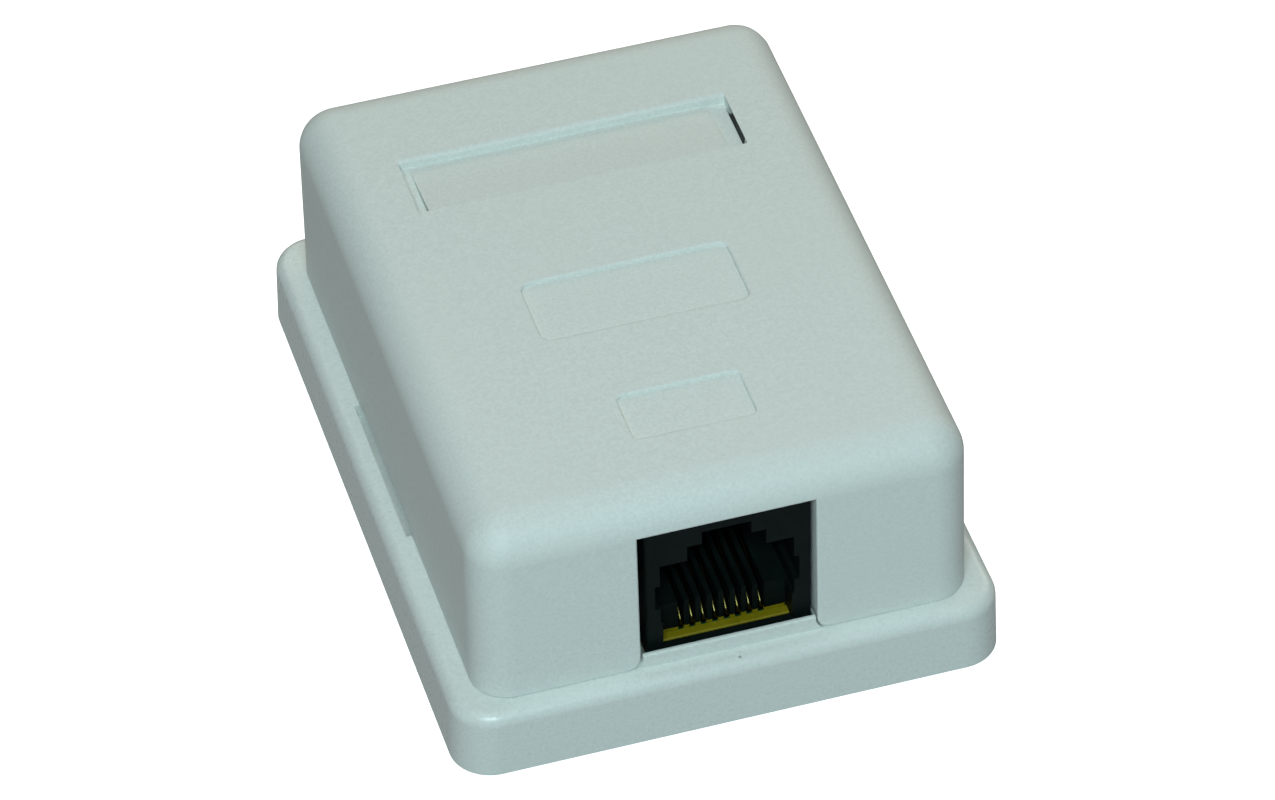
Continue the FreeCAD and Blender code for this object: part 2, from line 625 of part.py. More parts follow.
f = fillet(
    cover, f, "gate_edge", 0.22,
    lambda e: abs(mid(e).y - front_at(mid(e).z)) < 0.02
    and max(abs(v.Point.y - front_at(v.Point.z)) for v in e.Vertexes) < 0.02
    and abs(mid(e).x - D.gate_mid.v) < D.gate_half.v + D.gate_flare.v + 0.01
    and D.base_high.v + 0.01 < mid(e).z < D.gate_top.v + 0.01,
)
top = D.cover_top.v
for name, half, y0, y1, d, r in (
    ("mid_recess", D.mid_half.v, D.mid_front.v, D.mid_rear.v, D.mid_deep.v, 0.24),
    ("small_recess", D.small_half.v, D.small_front.v, D.small_rear.v, D.small_deep.v, 0.21),
):
    f = fillet(
        cover, f, name + "_edge", r,
        lambda e, h=half, a=y0, b=y1: box_of(e).ZMin > top - 0.01 and box_of(e).ZMax < top + 0.01
        and abs(mid(e).x) < h + 0.01 and a - 0.01 < mid(e).y < b + 0.01,
    )
f = fillet(
    cover, f, "label_edge", 0.38,
    lambda e: box_of(e).ZMin > top - 0.01 and box_of(e).ZMax < top + 0.01
    and abs(mid(e).y - D.label_rear.v) < 0.01 and abs(mid(e).x) < D.label_half.v,
)

# knock-out for a surface cable, a thin web low in the rear wall
sk = sketch_on(cover, "XZ", "knockout_thin", D.cover_rear - D.cover_wall)
rectangle(sk, -5.5, D.base_high - 1, 5.5, D.base_high + 6.5)
f = pocket(cover, sk, (D.cover_wall - 0.75) * 2, midplane=True)
sk = sketch_on(cover, "XZ", "knockout_line", D.cover_rear)
polygon(
    sk,
    [
        (-5.8, D.base_high - 1), (-5.8, D.base_high + 6.8), (5.8, D.base_high + 6.8), (5.8, D.base_high - 1),
        (5.45, D.base_high - 1), (5.45, D.base_high + 6.45), (-5.45, D.base_high + 6.45), (-5.45, D.base_high - 1),
    ],
)
f = pocket(cover, sk, 0.5, midplane=True)

# notches in the foot of both long walls, over the pry slots
for side, name in ((-1, "left"), (1, "right")):
    sk = sketch_on(cover, "XZ", "foot_notch_" + name)
    rectangle(
        sk, (D.slot_in + 0.05) * side, D.base_high - 0.5,
        (D.cover_x + 0.5) * side, D.base_high + D.notch_high,
    )
    f = pocket(cover, sk, D.slot_half * 2 - 0.1, midplane=True)
    foot = D.base_high.v + D.notch_high.v
    f = fillet(
        cover, f, "foot_notch_edge_" + name, D.notch_round,
        lambda e, s=side: abs(box_of(e).ZMin - foot) < 0.01 and abs(box_of(e).ZMax - foot) < 0.01
        and abs(mid(e).x * s - D.cover_x.v) < 0.05,
    )

# snap tongues that reach down under the pry slots, with a short hook outwards
for side, name in ((-1, "left"), (1, "right")):
    xo = (D.slot_in - 0.1) * side
    xi = (D.slot_in - 0.9) * side
    z0 = D.base_high + 0.6
    sk = sketch_on(cover, "XZ", "snap_tongue_" + name)
    polygon(sk, [(xi, z0), (xi, 2.7), (xo - 0.35 * side, 2.7), (xo, 3.1), (xo, z0)])
    f = pad(cover, sk, D.slot_half * 2 - 0.5, midplane=True)
    hook = (D.slot_in + 0.2) * side
    sk = sketch_on(cover, "XZ", "snap_hook_" + name)
    polygon(
        sk,
        [
            (xo - 0.3 * side, 2.95), (xo, 2.95), (hook, 3.4), (hook, D.core_deep - 0.15),
            (xo, D.core_deep - 0.04), (xo - 0.3 * side, D.core_deep - 0.04),
        ],
    )
    f = pad(cover, sk, D.hook_long, midplane=True)

# -------------------------------------------------------------------- board
pcb = new_body("pcb")
dx = D.board_dx
sk = sketch_on(pcb, "XY", "board_outline", board_low)
polygon(
    sk,
    [
        (dx - D.board_nose, D.board_front), (dx + D.board_nose, D.board_front),
        (dx + D.board_nose, D.board_front + 3.2), (dx + D.board_neck, D.board_front + 4.4),
        (dx + D.board_neck, D.board_step), (dx + D.board_half, D.board_step),
        (dx + D.board_half, D.board_rear), (dx - D.board_half, D.board_rear),
        (dx - D.board_half, D.board_step), (dx - D.board_neck, D.board_step),
        (dx - D.board_neck, D.board_front + 4.4), (dx - D.board_nose, D.board_front + 3.2),
    ],
)
f = pad(pcb, sk, D.board_thick)
f = fillet(pcb, f, "board_corners", 0.8, lambda e: vertical(e, 1))
sk = sketch_on(pcb, "XY", "board_holes", D.board_top + 1)
circle(sk, 0, D.screw_y1, 1.65)
circle(sk, 0, D.screw_y2, 1.65)
for i in range(8):
    circle(sk, dx + D.pitch * (i - 3.5), D.tail_a if i % 2 == 0 else D.tail_b, 0.4)
for side in (-1, 1):
    circle(sk, dx + 6.5 * side, -21.0, 0.85)
    for j in range(4):
        circle(sk, dx + D.block_x * side, D.block_y + D.block_pitch * (j - 1.5), 0.55)
f = pocket(pcb, sk, D.board_thick + 2)

# --------------------------------------------------------------------- jack
jack = new_body("jack_housing")
sk = sketch_on(jack, "XY", "housing_outline", D.jack_base)
rectangle(
    sk, dx + D.jack_offset - D.jack_half, D.jack_face, dx + D.jack_offset + D.jack_half, D.jack_rear
)
f = pad(jack, sk, D.jack_top - D.jack_base)
f = fillet(
    jack, f, "housing_edges", 0.25,
    lambda e: vertical(e, 5) or box_of(e).ZMin > D.jack_top.v - 0.05,
)
depth = D.port_end - D.jack_face


def port_cut(name, half, z0, z1, y1):
    """Rectangular cut from the jack's face back to y1."""
    feature_sk = sketch_on(jack, "XZ", name, D.jack_face)
    rectangle(feature_sk, dx - half, z0, dx + half, z1)
    return pocket(jack, feature_sk, y1 - D.jack_face, reverse=False)


f = port_cut("plug_cavity", D.port_half, D.port_floor, D.port_roof, D.port_end)
f = port_cut("side_reliefs", D.relief_half, D.relief_low, D.relief_high, D.port_end - 0.6)
f = port_cut("latch_wide", D.latch_half, D.port_roof - 0.5, D.latch_top, D.port_end - 2.2)
f = port_cut("latch_narrow", D.tip_half, D.latch_top - 0.5, D.tip_top, D.port_end - 4.4)
f = port_cut("front_window", D.insert_half + 0.05, D.insert_top - 0.05, D.relief_low + 0.3, D.comb_front)
# ledge that the latch hooks behind
sk = sketch_on(jack, "XZ", "latch_pocket", D.jack_face + 3.2)
rectangle(sk, dx - D.latch_half, D.latch_top - 0.3, dx + D.latch_half, D.tip_top)
f = pocket(jack, sk, 5.0, reverse=False)
# seat of the contact carrier, open below
sk = sketch_on(jack, "XY", "carrier_seat", D.jack_base)
rectangle(sk, dx - (D.insert_half + 0.05), D.bar_front - 0.05, dx + D.insert_half + 0.05, D.jack_rear + 0.0)
f = pocket(jack, sk, D.insert_top + 0.05 - D.jack_base, reverse=True)
# comb that keeps the wires apart
sk = sketch_on(jack, "XY", "comb_slots", D.port_floor + 0.2)
for i in range(8):
    x = dx + D.pitch * (i - 3.5)
    rectangle(sk, x - D.comb_slot / 2, D.comb_front - 0.4, x + D.comb_slot / 2, D.port_end)
f = pocket(jack, sk, D.port_floor + 0.2 - D.insert_top)
# locating pegs that go through the board
sk = sketch_on(jack, "XY", "housing_pegs", D.board_top - D.board_thick - 0.5)
for side in (-1, 1):
    circle(sk, dx + 6.5 * side, -21.0, 0.7)
f = pad(jack, sk, D.jack_base - board_low + 0.9)

# ------------------------------------------------------------------ carrier
carrier = new_body("contact_carrier")
sk = sketch_on(carrier, "YZ", "carrier_section", dx)
polygon(
    sk,
    [
        (D.bar_front, D.jack_base), (D.jack_rear - 0.3, D.jack_base), (D.jack_rear - 0.3, D.insert_top),
        (D.comb_front + 0.05, D.insert_top), (D.comb_front + 0.05, D.jack_base + 0.2),
        (D.bar_rear, D.jack_base + 0.2), (D.bar_rear, D.bar_top), (D.bar_front + 0.08, D.bar_top),
        (D.bar_front, D.bar_top - 0.1),
    ],
)
f = pad(carrier, sk, D.insert_half * 2, midplane=True)
sk = sketch_on(carrier, "XY", "wire_grooves", D.insert_top + 1)
for i in range(8):
    x = dx + D.pitch * (i - 3.5)
    rear = (D.tail_a if i % 2 == 0 else D.tail_b) + 0.3
    rectangle(sk, x - 0.27, D.bar_rear + 0.02, x + 0.27, rear)
f = pocket(carrier, sk, D.insert_top + 1 - D.jack_base + 0.2)

# ----------------------------------------------------------------- contacts
# Each wire: solder tail up through the board, forward in its groove, round the
# nose behind the bar, then back and up through the comb to its free end.
R2 = 5.0
A1, A2 = math.radians(45), math.radians(20)
for i in range(8):
    label = "contact_%d" % (i + 1)
    wire = new_body(label)
    x = dx + D.pitch * (i - 3.5)
    tail = (D.tail_a if i % 2 == 0 else D.tail_b)
    path = sketch_on(wire, "YZ", label + "_path", x)
    rb = 0.5
    nose = D.wire_nose.v
    zc = D.wire_low.v + D.wire_bend.v
    p1 = V(tail.v, D.tail_low.v, 0)
    p2 = V(tail.v, D.wire_low.v - rb, 0)
    p3 = V(tail.v - rb, D.wire_low.v, 0)
    p4 = V(nose, D.wire_low.v, 0)
    rn = D.wire_bend.v
    p5 = V(nose - rn * math.sin(A1), zc + rn * math.cos(A1), 0)
    p6 = V(p5.x + R2 * (math.sin(A1) - math.sin(A2)), p5.y + R2 * (math.cos(A2) - math.cos(A1)), 0)
    p7 = V(D.wire_tip.v, p6.y + (D.wire_tip.v - p6.x) * math.tan(A2), 0)
    l1 = path.addGeometry(Part.LineSegment(p1, p2), False)
    c1 = path.addGeometry(Part.ArcOfCircle(Part.Circle(V(tail.v - rb, D.wire_low.v - rb, 0), V(0, 0, 1), rb), 0.0, math.pi / 2), False)
    l2 = path.addGeometry(Part.LineSegment(p3, p4), False)
    c2 = path.addGeometry(Part.ArcOfCircle(Part.Circle(V(nose, zc, 0), V(0, 0, 1), rn), math.pi / 2 + A1, 1.5 * math.pi), False)
    centre = V(p5.x + R2 * math.sin(A1), p5.y - R2 * math.cos(A1), 0)
    c3 = path.addGeometry(Part.ArcOfCircle(Part.Circle(centre, V(0, 0, 1), R2), math.pi / 2 + A2, math.pi / 2 + A1), False)
    l3 = path.addGeometry(Part.LineSegment(p6, p7), False)
    path.addConstraint(C("Tangent", l1, 2, c1, 1))
    path.addConstraint(C("Tangent", c1, 2, l2, 1))
    path.addConstraint(C("Tangent", l2, 2, c2, 2))
    path.addConstraint(C("Tangent", c2, 1, c3, 2))
    path.addConstraint(C("Tangent", c3, 1, l3, 1))
    path.addConstraint(C("Vertical", l1))
    fix_point(path, l1, 1, tail, D.tail_low)
    k = path.addConstraint(C("Radius", c1, rb))
    k = path.addConstraint(C("Radius", c2, rn))
    path.setExpression("Constraints[%d]" % k, D.wire_bend.t)
    k = path.addConstraint(C("Radius", c3, R2))
    k = path.addConstraint(C("DistanceY", -1, 1, l2, 2, D.wire_low.v))
    path.setExpression("Constraints[%d]" % k, D.wire_low.t)
    k = path.addConstraint(C("DistanceX", -1, 1, c2, 3, nose))
    path.setExpression("Constraints[%d]" % k, D.wire_nose.t)
    k = path.addConstraint(C("DistanceX", -1, 1, l3, 2, D.wire_tip.v))
    path.setExpression("Constraints[%d]" % k, D.wire_tip.t)
    k = path.addConstraint(C("Angle", -1, 2, l3, 1, A2)) if False else None
    path.addConstraint(C("DistanceY", -1, 1, l3, 1, p6.y))
    doc.recompute()
    section = sketch_on(wire, "XY", label + "_section", D.tail_low)
    circle(section, x, tail, D.wire_rad)
    doc.recompute()
    pipe = wire.newObject("PartDesign::AdditivePipe", label + "_pipe")
    pipe.Profile = section
    pipe.Spine = path
    doc.recompute()

# -------------------------------------------------------- punch-down blocks
for side, name in ((-1, "left"), (1, "right")):
    block = new_body("idc_block_" + name)
    bx = dx + D.block_x * side
    sk = sketch_on(block, "YZ", "block_section_" + name, bx)
    z0 = D.board_top
    z1 = D.board_top + D.block_high
    pts = [(D.block_y - D.block_long / 2, z0), (D.block_y + D.block_long / 2, z0)]
    # five teeth with four wire slots between them, from +Y to -Y
    pts.append((D.block_y + D.block_long / 2, z1 - 2.2))
    pts.append((D.block_y + D.block_long / 2 - 0.7, z1))
    for j in (3, 2, 1, 0):
        yc = D.block_y + D.block_pitch * (j - 1.5)
        pts.append((yc + 1.15, z1))
        pts.append((yc + 0.5, z1 - 1.7))
        pts.append((yc + 0.5, z1 - 6.2))
        pts.append((yc - 0.5, z1 - 6.2))
        pts.append((yc - 0.5, z1 - 1.7))
        pts.append((yc - 1.15, z1))
    pts.append((D.block_y - D.block_long / 2 + 0.7, z1))
    pts.append((D.block_y - D.block_long / 2, z1 - 2.2))
    polygon(sk, pts)
    f = pad(block, sk, D.block_wide, midplane=True)
    f = fillet(
        block, f, "block_tops_" + name, 0.9,
        lambda e, zt=z1.v, xb=bx.v: box_of(e).ZMin > zt - 0.02 and abs(abs(mid(e).x - xb) - 3.2) < 0.02,
        kind="PartDesign::Chamfer",
    )
    sk = sketch_on(block, "XY", "clip_pockets_" + name, z1 + 1)
    for j in range(4):
        yc = D.block_y + D.block_pitch * (j - 1.5)
        rectangle(sk, bx - (D.clip_thick / 2 + 0.06), yc - (D.clip_wide / 2 + 0.1), bx + D.clip_thick / 2 + 0.06, yc + D.clip_wide / 2 + 0.1)
    f = pocket(block, sk, D.block_high + 2)

for n in range(8):
    side = -1 if n < 4 else 1
    j = n % 4
    label = "idc_clip_%d" % (n + 1)
    clip = new_body(label)
    bx = dx + D.block_x * side
    yc = D.block_y + D.block_pitch * (j - 1.5)
    z0 = D.board_top + 0.35
    z1 = D.board_top + D.block_high - 2.6
    sk = sketch_on(clip, "YZ", label + "_outline", bx)
    w = D.clip_wide / 2
    polygon(
        sk,
        [
            (yc - 0.35, D.tail_low), (yc + 0.35, D.tail_low), (yc + 0.35, z0), (yc + w, z0), (yc + w, z1 - 0.5),
            (yc + w - 0.5, z1), (yc + 0.62, z1), (yc + 0.17, z1 - 1.1), (yc + 0.17, z1 - 5.2), (yc - 0.17, z1 - 5.2),
            (yc - 0.17, z1 - 1.1), (yc - 0.62, z1), (yc - w + 0.5, z1), (yc - w, z1 - 0.5), (yc - w, z0), (yc - 0.35, z0),
        ],
    )
    f = pad(clip, sk, D.clip_thick, midplane=True)

# ------------------------------------------------------------- board screws
screws = []
for n, y in ((1, D.screw_y1), (2, D.screw_y2)):
    body = doc.addObject("PartDesign::Body", "screw_%d" % n)
    body.Label = "screw_%d" % n
    sk = sketch_on(body, "XZ", "screw_section_%d" % n, y)
    zb = D.board_top + 0.02
    polygon(
        sk,
        [
            (0, 1.3), (0.35, 1.9), (1.1, 2.6), (1.1, zb), (2.5, zb), (2.5, zb + 0.95), (2.0, zb + 1.6),
            (1.1, zb + 1.85), (0, zb + 1.9),
        ],
    )
    doc.recompute()
    rev = body.newObject("PartDesign::Revolution", "screw_turn_%d" % n)
    rev.Profile = sk
    rev.ReferenceAxis = (sk, ["V_Axis"])
    rev.Angle = 360
    doc.recompute()
    sk = sketch_on(body, "XY", "cross_recess_%d" % n, zb + 2.4)
    polygon(
        sk,
        [
            (-1.45, y - 0.28), (-0.28, y - 0.28), (-0.28, y - 1.45), (0.28, y - 1.45), (0.28, y - 0.28), (1.45, y - 0.28),
            (1.45, y + 0.28), (0.28, y + 0.28), (0.28, y + 1.45), (-0.28, y + 1.45), (-0.28, y + 0.28), (-1.45, y + 0.28),
        ],
    )
    pocket(body, sk, 1.7)
    screws.append(body)
group = doc.addObject("Part::Compound", "pcb_screws")
group.Label = "pcb_screws"
group.Links = screws
SUBPARTS.append(group)
doc.recompute()

# ---------------------------------------------------------- check and write
bad = [
    "%s: %s" % (o.Name, ", ".join(o.State))
    for o in doc.Objects
    if any(s in ("Invalid", "Error") for s in o.State)
]
for sub in SUBPARTS:
    shape = sub.Shape
    if shape.isNull() or not shape.isValid() or not shape.Solids:
        bad.append("%s: bad shape" % sub.Label)
if bad:
    raise RuntimeError("; ".join(bad))
os.makedirs("parts", exist_ok=True)
for sub in SUBPARTS:
    shape = sub.Shape
    shape.exportStep("parts/%s.step" % sub.Label)
    b = shape.BoundBox
    print(
        "%-18s solids %d volume %.1f x %.2f..%.2f y %.2f..%.2f z %.2f..%.2f"
        % (sub.Label, len(shape.Solids), shape.Volume, b.XMin, b.XMax, b.YMin, b.YMax, b.ZMin, b.ZMax)
    )
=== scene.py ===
import math

import bpy
from mathutils import Matrix, Vector

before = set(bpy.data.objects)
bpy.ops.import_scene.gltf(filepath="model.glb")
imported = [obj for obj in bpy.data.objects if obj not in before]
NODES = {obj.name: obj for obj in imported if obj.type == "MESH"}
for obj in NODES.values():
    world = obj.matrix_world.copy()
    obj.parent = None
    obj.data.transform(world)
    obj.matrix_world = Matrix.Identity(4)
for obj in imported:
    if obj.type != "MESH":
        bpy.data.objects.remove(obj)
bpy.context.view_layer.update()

MM = 0.001


# ------------------------------------------------------------------ helpers
class Graph:
    """Short way to build one node material."""

    def __init__(self, name):
        self.mat = bpy.data.materials.new(name)
        self.mat.use_nodes = True
        self.tree = self.mat.node_tree
        self.tree.nodes.clear()
        self.out = self.new("ShaderNodeOutputMaterial")
        self.bsdf = self.new("ShaderNodeBsdfPrincipled")
        self.link(self.bsdf.outputs["BSDF"], self.out.inputs["Surface"])
        self.coord = self.new("ShaderNodeTexCoord").outputs["Object"]

    def new(self, kind, **props):
        node = self.tree.nodes.new(kind)
        for key, value in props.items():
            setattr(node, key, value)
        return node

    def link(self, a, b):
        self.tree.links.new(a, b)

    def set(self, **values):
        for key, value in values.items():
            self.bsdf.inputs[key.replace("_", " ")].default_value = value

    def noise(self, scale, detail=2.0, rough=0.5, source=None, distortion=0.0):
        n = self.new("ShaderNodeTexNoise")
        n.inputs["Scale"].default_value = scale
        n.inputs["Detail"].default_value = detail
        n.inputs["Roughness"].default_value = rough
        n.inputs["Distortion"].default_value = distortion
        self.link(source or self.coord, n.inputs["Vector"])
        return n.outputs["Fac"]

    def voronoi(self, scale, feature="F1", source=None, randomness=1.0):
        n = self.new("ShaderNodeTexVoronoi", feature=feature)
        n.inputs["Scale"].default_value = scale
        n.inputs["Randomness"].default_value = randomness
        self.link(source or self.coord, n.inputs["Vector"])
        return n.outputs["Distance"]

    def math(self, op, a, b=None, c=None, clamp=False):
        n = self.new("ShaderNodeMath", operation=op, use_clamp=clamp)
        for i, v in enumerate((a, b, c)):
            if v is None:
                continue
            if isinstance(v, (int, float)):
                n.inputs[i].default_value = v
            else:
                self.link(v, n.inputs[i])
        return n.outputs[0]

    def remap(self, value, a, b, lo=0.0, hi=1.0, smooth=False):
        n = self.new("ShaderNodeMapRange")
        n.interpolation_type = "SMOOTHSTEP" if smooth else "LINEAR"
        n.inputs["From Min"].default_value = a
        n.inputs["From Max"].default_value = b
        n.inputs["To Min"].default_value = lo
        n.inputs["To Max"].default_value = hi
        self.link(value, n.inputs["Value"])
        return n.outputs["Result"]

    def mix(self, fac, a, b, mode="MIX"):
        n = self.new("ShaderNodeMix", data_type="RGBA", blend_type=mode)
        if isinstance(fac, (int, float)):
            n.inputs["Factor"].default_value = fac
        else:
            self.link(fac, n.inputs["Factor"])
        for socket, v in ((n.inputs[6], a), (n.inputs[7], b)):
            if isinstance(v, tuple):
                socket.default_value = (*v, 1.0)
            else:
                self.link(v, socket)
        return n.outputs[2]

    def bump(self, height, strength, distance, normal=None):
        n = self.new("ShaderNodeBump")
        n.inputs["Strength"].default_value = strength
        n.inputs["Distance"].default_value = distance
        self.link(height, n.inputs["Height"])
        if normal is not None:
            self.link(normal, n.inputs["Normal"])
        return n.outputs["Normal"]

    def position(self):
        n = self.new("ShaderNodeSeparateXYZ")
        self.link(self.coord, n.inputs[0])
        return n.outputs

    def facing(self):
        """The surface's own normal, split."""
        g = self.new("ShaderNodeNewGeometry")
        n = self.new("ShaderNodeSeparateXYZ")
        self.link(g.outputs["Normal"], n.inputs[0])
        return n.outputs


def white_plastic(name, tone, rough, grain):
    """ABS with the fine spark texture of the mould: grain of about 0.2 mm,
    slightly mottled colour, a cool white."""
    g = Graph(name)
    fine = g.noise(5200, 2.0, 0.6)
    mid = g.noise(1900, 3.0, 0.6)
    pits = g.voronoi(2600)
    height = g.math("ADD", g.math("MULTIPLY", fine, 0.5), g.math("MULTIPLY", mid, 0.8))
    height = g.math("SUBTRACT", height, g.math("MULTIPLY", pits, 0.35))
    broad = g.noise(45, 3.0, 0.5)
    dark = tuple(c * 0.93 for c in tone)
    light = tuple(min(1.0, c * 1.055) for c in tone)
    speckle = g.remap(g.noise(3300, 3.0, 0.7), 0.32, 0.68)
    colour = g.mix(speckle, dark, light)
    warm = (tone[0] * 1.012, tone[1] * 0.998, tone[2] * 0.985)
    colour = g.mix(g.math("MULTIPLY", g.remap(broad, 0.4, 0.62), 0.35), colour, warm)
    g.link(colour, g.bsdf.inputs["Base Color"])
    g.link(g.remap(mid, 0.3, 0.7, rough - 0.05, rough + 0.07), g.bsdf.inputs["Roughness"])
    g.link(g.bump(height, grain, 0.00003), g.bsdf.inputs["Normal"])
    g.set(Subsurface_Weight=0.0)
    return g


def speck(g, centre, radius, colour, strength=1.0):
    """A small grain of dirt in the surface at a point of the part."""
    base = g.bsdf.inputs["Base Color"].links[0].from_socket
    v = g.new("ShaderNodeVectorMath", operation="DISTANCE")
    g.link(g.coord, v.inputs[0])
    v.inputs[1].default_value = centre
    wobble = g.math("MULTIPLY", g.noise(4000, 2.0, 0.5), radius * 0.8)
    d = g.math("ADD", v.outputs["Value"], wobble)
    fac = g.remap(d, radius * 1.15, radius * 1.75, strength, 0.0, smooth=True)
    g.link(g.mix(fac, base, colour), g.bsdf.inputs["Base Color"])


COOL = (0.772, 0.799, 0.763)
cover_mat = white_plastic("cover_abs", COOL, 0.56, 0.32)
base_mat = white_plastic("base_abs", COOL, 0.30, 0.30)
speck(base_mat, (0.00064, -0.03154, 0.00654), 0.00013, (0.12, 0.13, 0.13), 0.55)

jack = Graph("jack_black")
fine = jack.noise(2600, 3.0, 0.6)
tint = jack.mix(jack.remap(jack.noise(420, 2.0, 0.5), 0.35, 0.65), (0.0034, 0.0062, 0.0056), (0.0050, 0.0086, 0.0079))
jack.link(tint, jack.bsdf.inputs["Base Color"])
jack.link(jack.remap(fine, 0.3, 0.7, 0.42, 0.56), jack.bsdf.inputs["Roughness"])
jack.link(jack.bump(fine, 0.15, 0.00003), jack.bsdf.inputs["Normal"])
jack.set(Specular_IOR_Level=0.09)

insert = Graph("carrier_yellow")
fine = insert.noise(1500, 3.0, 0.6)
insert.link(insert.mix(insert.remap(fine, 0.3, 0.7), (0.20, 0.158, 0.003), (0.27, 0.205, 0.006)), insert.bsdf.inputs["Base Color"])
insert.link(insert.remap(fine, 0.3, 0.7, 0.4, 0.52), insert.bsdf.inputs["Roughness"])
insert.link(insert.bump(fine, 0.15, 0.00003), insert.bsdf.inputs["Normal"])
insert.set(Specular_IOR_Level=0.2)

gold = Graph("contact_gold")
p = gold.position()
drawn = gold.new("ShaderNodeMapping")
drawn.inputs["Scale"].default_value = (1.0, 0.08, 0.08)
gold.link(gold.coord, drawn.inputs["Vector"])
lines = gold.noise(9000, 2.0, 0.6, source=drawn.outputs["Vector"])
tail = gold.remap(p[2], 0.0064, 0.0069)
# painted shade: the gold of the contacts is painted many times darker than gold, standing in for the shade inside the
# jack's port; the part below 6.4 mm height keeps a light grey metal colour
colour = gold.mix(gold.remap(gold.noise(700, 2.0), 0.35, 0.65), (0.060, 0.050, 0.014), (0.090, 0.074, 0.022))
colour = gold.mix(tail, (0.62, 0.62, 0.60), colour)
gold.link(colour, gold.bsdf.inputs["Base Color"])
gold.link(gold.remap(lines, 0.3, 0.7, 0.20, 0.30), gold.bsdf.inputs["Roughness"])
gold.link(gold.bump(lines, 0.1, 0.00001), gold.bsdf.inputs["Normal"])
gold.set(Metallic=1.0)

tin = Graph("clip_tin")
fine = tin.noise(2400, 3.0, 0.6)
tin.link(tin.mix(tin.remap(fine, 0.3, 0.7), (0.55, 0.55, 0.53), (0.72, 0.72, 0.70)), tin.bsdf.inputs["Base Color"])
tin.link(tin.remap(fine, 0.3, 0.7, 0.28, 0.42), tin.bsdf.inputs["Roughness"])
tin.link(tin.bump(fine, 0.1, 0.00002), tin.bsdf.inputs["Normal"])
tin.set(Metallic=1.0)

zinc = Graph("screw_zinc")
fine = zinc.noise(1800, 3.0, 0.6)
zinc.link(zinc.mix(zinc.remap(fine, 0.3, 0.7), (0.50, 0.52, 0.54), (0.70, 0.71, 0.70)), zinc.bsdf.inputs["Base Color"])
zinc.link(zinc.remap(fine, 0.3, 0.7, 0.26, 0.44), zinc.bsdf.inputs["Roughness"])
zinc.link(zinc.bump(fine, 0.12, 0.00002), zinc.bsdf.inputs["Normal"])
zinc.set(Metallic=1.0)

block = Graph("block_white")
fine = block.noise(1400, 3.0, 0.6)
block.link(block.mix(block.remap(fine, 0.3, 0.7), (0.74, 0.76, 0.74), (0.82, 0.83, 0.80)), block.bsdf.inputs["Base Color"])
block.link(block.remap(fine, 0.3, 0.7, 0.3, 0.4), block.bsdf.inputs["Roughness"])
block.link(block.bump(fine, 0.1, 0.00002), block.bsdf.inputs["Normal"])

board = Graph("board_mask")
n = board.facing()
flat = board.remap(board.math("ABSOLUTE", n[2]), 0.5, 0.7)
weave = board.noise(1600, 2.0, 0.5)
mask = board.mix(board.remap(weave, 0.3, 0.7), (0.012, 0.110, 0.045), (0.020, 0.150, 0.060))
edge = board.mix(board.remap(board.noise(2600, 3.0), 0.3, 0.7), (0.42, 0.40, 0.22), (0.56, 0.54, 0.34))
board.link(board.mix(flat, edge, mask), board.bsdf.inputs["Base Color"])
board.link(board.remap(weave, 0.3, 0.7, 0.26, 0.36), board.bsdf.inputs["Roughness"])
board.link(board.bump(weave, 0.08, 0.00002), board.bsdf.inputs["Normal"])

FINISH = {"cover": cover_mat, "base": base_mat, "jack_housing": jack, "contact_carrier": insert, "pcb": board, "pcb_screws": zinc}
for name, obj in NODES.items():
    if name in FINISH:
        mat = FINISH[name].mat
    elif name.startswith("contact_"):
        mat = gold.mat
    elif name.startswith("idc_clip"):
        mat = tin.mat
    else:
        mat = block.mat
    obj.data.materials.clear()
    obj.data.materials.append(mat)

# -------------------------------------------------------------------- floor
floor_mesh = bpy.data.meshes.new("floor")
S = 3.0
floor_mesh.from_pydata([(-S, -S, 0), (S, -S, 0), (S, S, 0), (-S, S, 0)], [], [(0, 1, 2, 3)])
floor = bpy.data.objects.new("floor", floor_mesh)
bpy.context.scene.collection.objects.link(floor)
floor.location = (0, 0, -0.00002)
fg = Graph("floor_pale")
fg.link(fg.mix(fg.noise(6.0, 2.0), (0.90, 0.90, 0.90), (0.93, 0.93, 0.93)), fg.bsdf.inputs["Base Color"])
fg.set(Roughness=0.9, Emission_Color=(1, 1, 1, 1), Emission_Strength=0.9)
floor.data.materials.append(fg.mat)
floor.visible_diffuse = False
floor.visible_glossy = False
floor.visible_shadow = False

# ------------------------------------------------------------------- camera
# Azimuth and elevation of the view, distance, and the focal length in
# pixels of a 1275 wide picture; the aim is worked out from the point where
# the optical axis falls.
AZ, EL, ROLL = math.radians(-15.585), math.radians(42.770), math.radians(-1.625)
DIST, FOCAL = 0.5937, 6769.4
TARGET = Vector((0, 0, 0.01018))
AXIS_U, AXIS_V = 625.1 - 637.5, 386.75 - 400.0
back = Vector((math.sin(AZ) * math.cos(EL), -math.cos(AZ) * math.cos(EL), math.sin(EL)))
right = Vector((math.cos(AZ), math.sin(AZ), 0))
up = back.cross(right)
r2 = right * math.cos(ROLL) + up * math.sin(ROLL)
u2 = -right * math.sin(ROLL) + up * math.cos(ROLL)
place = TARGET + back * DIST
ahead = (-back + r2 * (-AXIS_U / FOCAL) + u2 * (AXIS_V / FOCAL)).normalized()
z = -ahead
x = u2.cross(z).normalized()
y = z.cross(x)
cam_data = bpy.data.cameras.new("camera")
cam = bpy.data.objects.new("camera", cam_data)
bpy.context.scene.collection.objects.link(cam)
cam_data.sensor_width = 36.0
cam_data.lens = FOCAL * 36.0 / 1275.0
cam_data.clip_start = 0.01
cam_data.clip_end = 20
m = Matrix((x, y, z)).transposed().to_4x4()
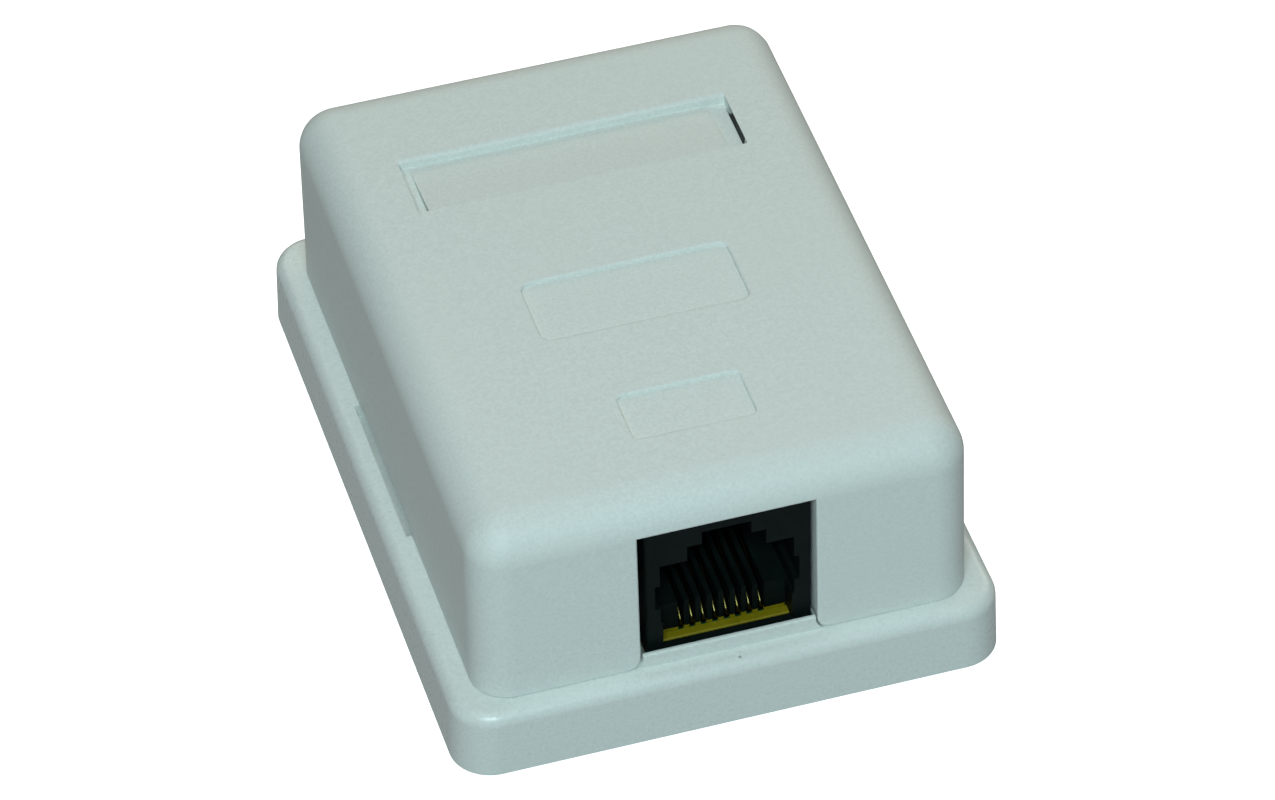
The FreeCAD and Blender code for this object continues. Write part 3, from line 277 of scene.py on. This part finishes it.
m.translation = place
cam.matrix_world = m
bpy.context.scene.camera = cam


# ------------------------------------------------------------------- lights
def area(name, place, aim, size, power, colour):
    data = bpy.data.lights.new(name, "AREA")
    data.shape = "RECTANGLE"
    data.size, data.size_y = size
    data.energy = power
    data.color = colour
    obj = bpy.data.objects.new(name, data)
    bpy.context.scene.collection.objects.link(obj)
    obj.location = place
    d = Vector(aim) - Vector(place)
    obj.rotation_euler = d.to_track_quat("-Z", "Y").to_euler()
    return obj


aim = (0, 0, 0.01)
area("over_left", (-0.10, -0.078, 0.74), aim, (0.07, 0.07), 0.35, (1.0, 0.966, 0.871))
area("over_soft", (0.02, 0.12, 0.72), aim, (0.50, 0.50), 0.445, (1.0, 0.966, 0.871))
area("rear_soft", (-0.05, 0.62, 0.38), aim, (0.50, 0.30), 0.61, (1.0, 0.966, 0.871))
area("right_soft", (0.45, 0.42, 0.36), aim, (0.40, 0.30), 0.967, (1.0, 0.966, 0.871))
area("front_soft", (-0.15, -0.49, 0.52), aim, (0.30, 0.20), 3.495, (0.706, 0.9425, 1.0))
area("left_low", (-0.66, -0.05, 0.13), aim, (0.40, 0.20), 0.143, (0.907, 1.0, 0.997))

# light given back by the pale table, from below the horizon only
world = bpy.data.worlds.new("world")
bpy.context.scene.world = world
world.use_nodes = True
wt = world.node_tree
bg = wt.nodes["Background"]
bg.inputs["Color"].default_value = (0.907, 1.0, 0.997, 1)
way = wt.nodes.new("ShaderNodeSeparateXYZ")
wt.links.new(wt.nodes.new("ShaderNodeTexCoord").outputs["Generated"], way.inputs[0])
low = wt.nodes.new("ShaderNodeMapRange")
low.interpolation_type = "SMOOTHSTEP"
for key, value in (("From Min", -0.15), ("From Max", 0.10), ("To Min", 0.357), ("To Max", 0.0)):
    low.inputs[key].default_value = value
wt.links.new(way.outputs[2], low.inputs["Value"])
wt.links.new(low.outputs["Result"], bg.inputs["Strength"])

bpy.context.scene.view_settings.view_transform = "Standard"
bpy.context.scene.view_settings.look = "None"
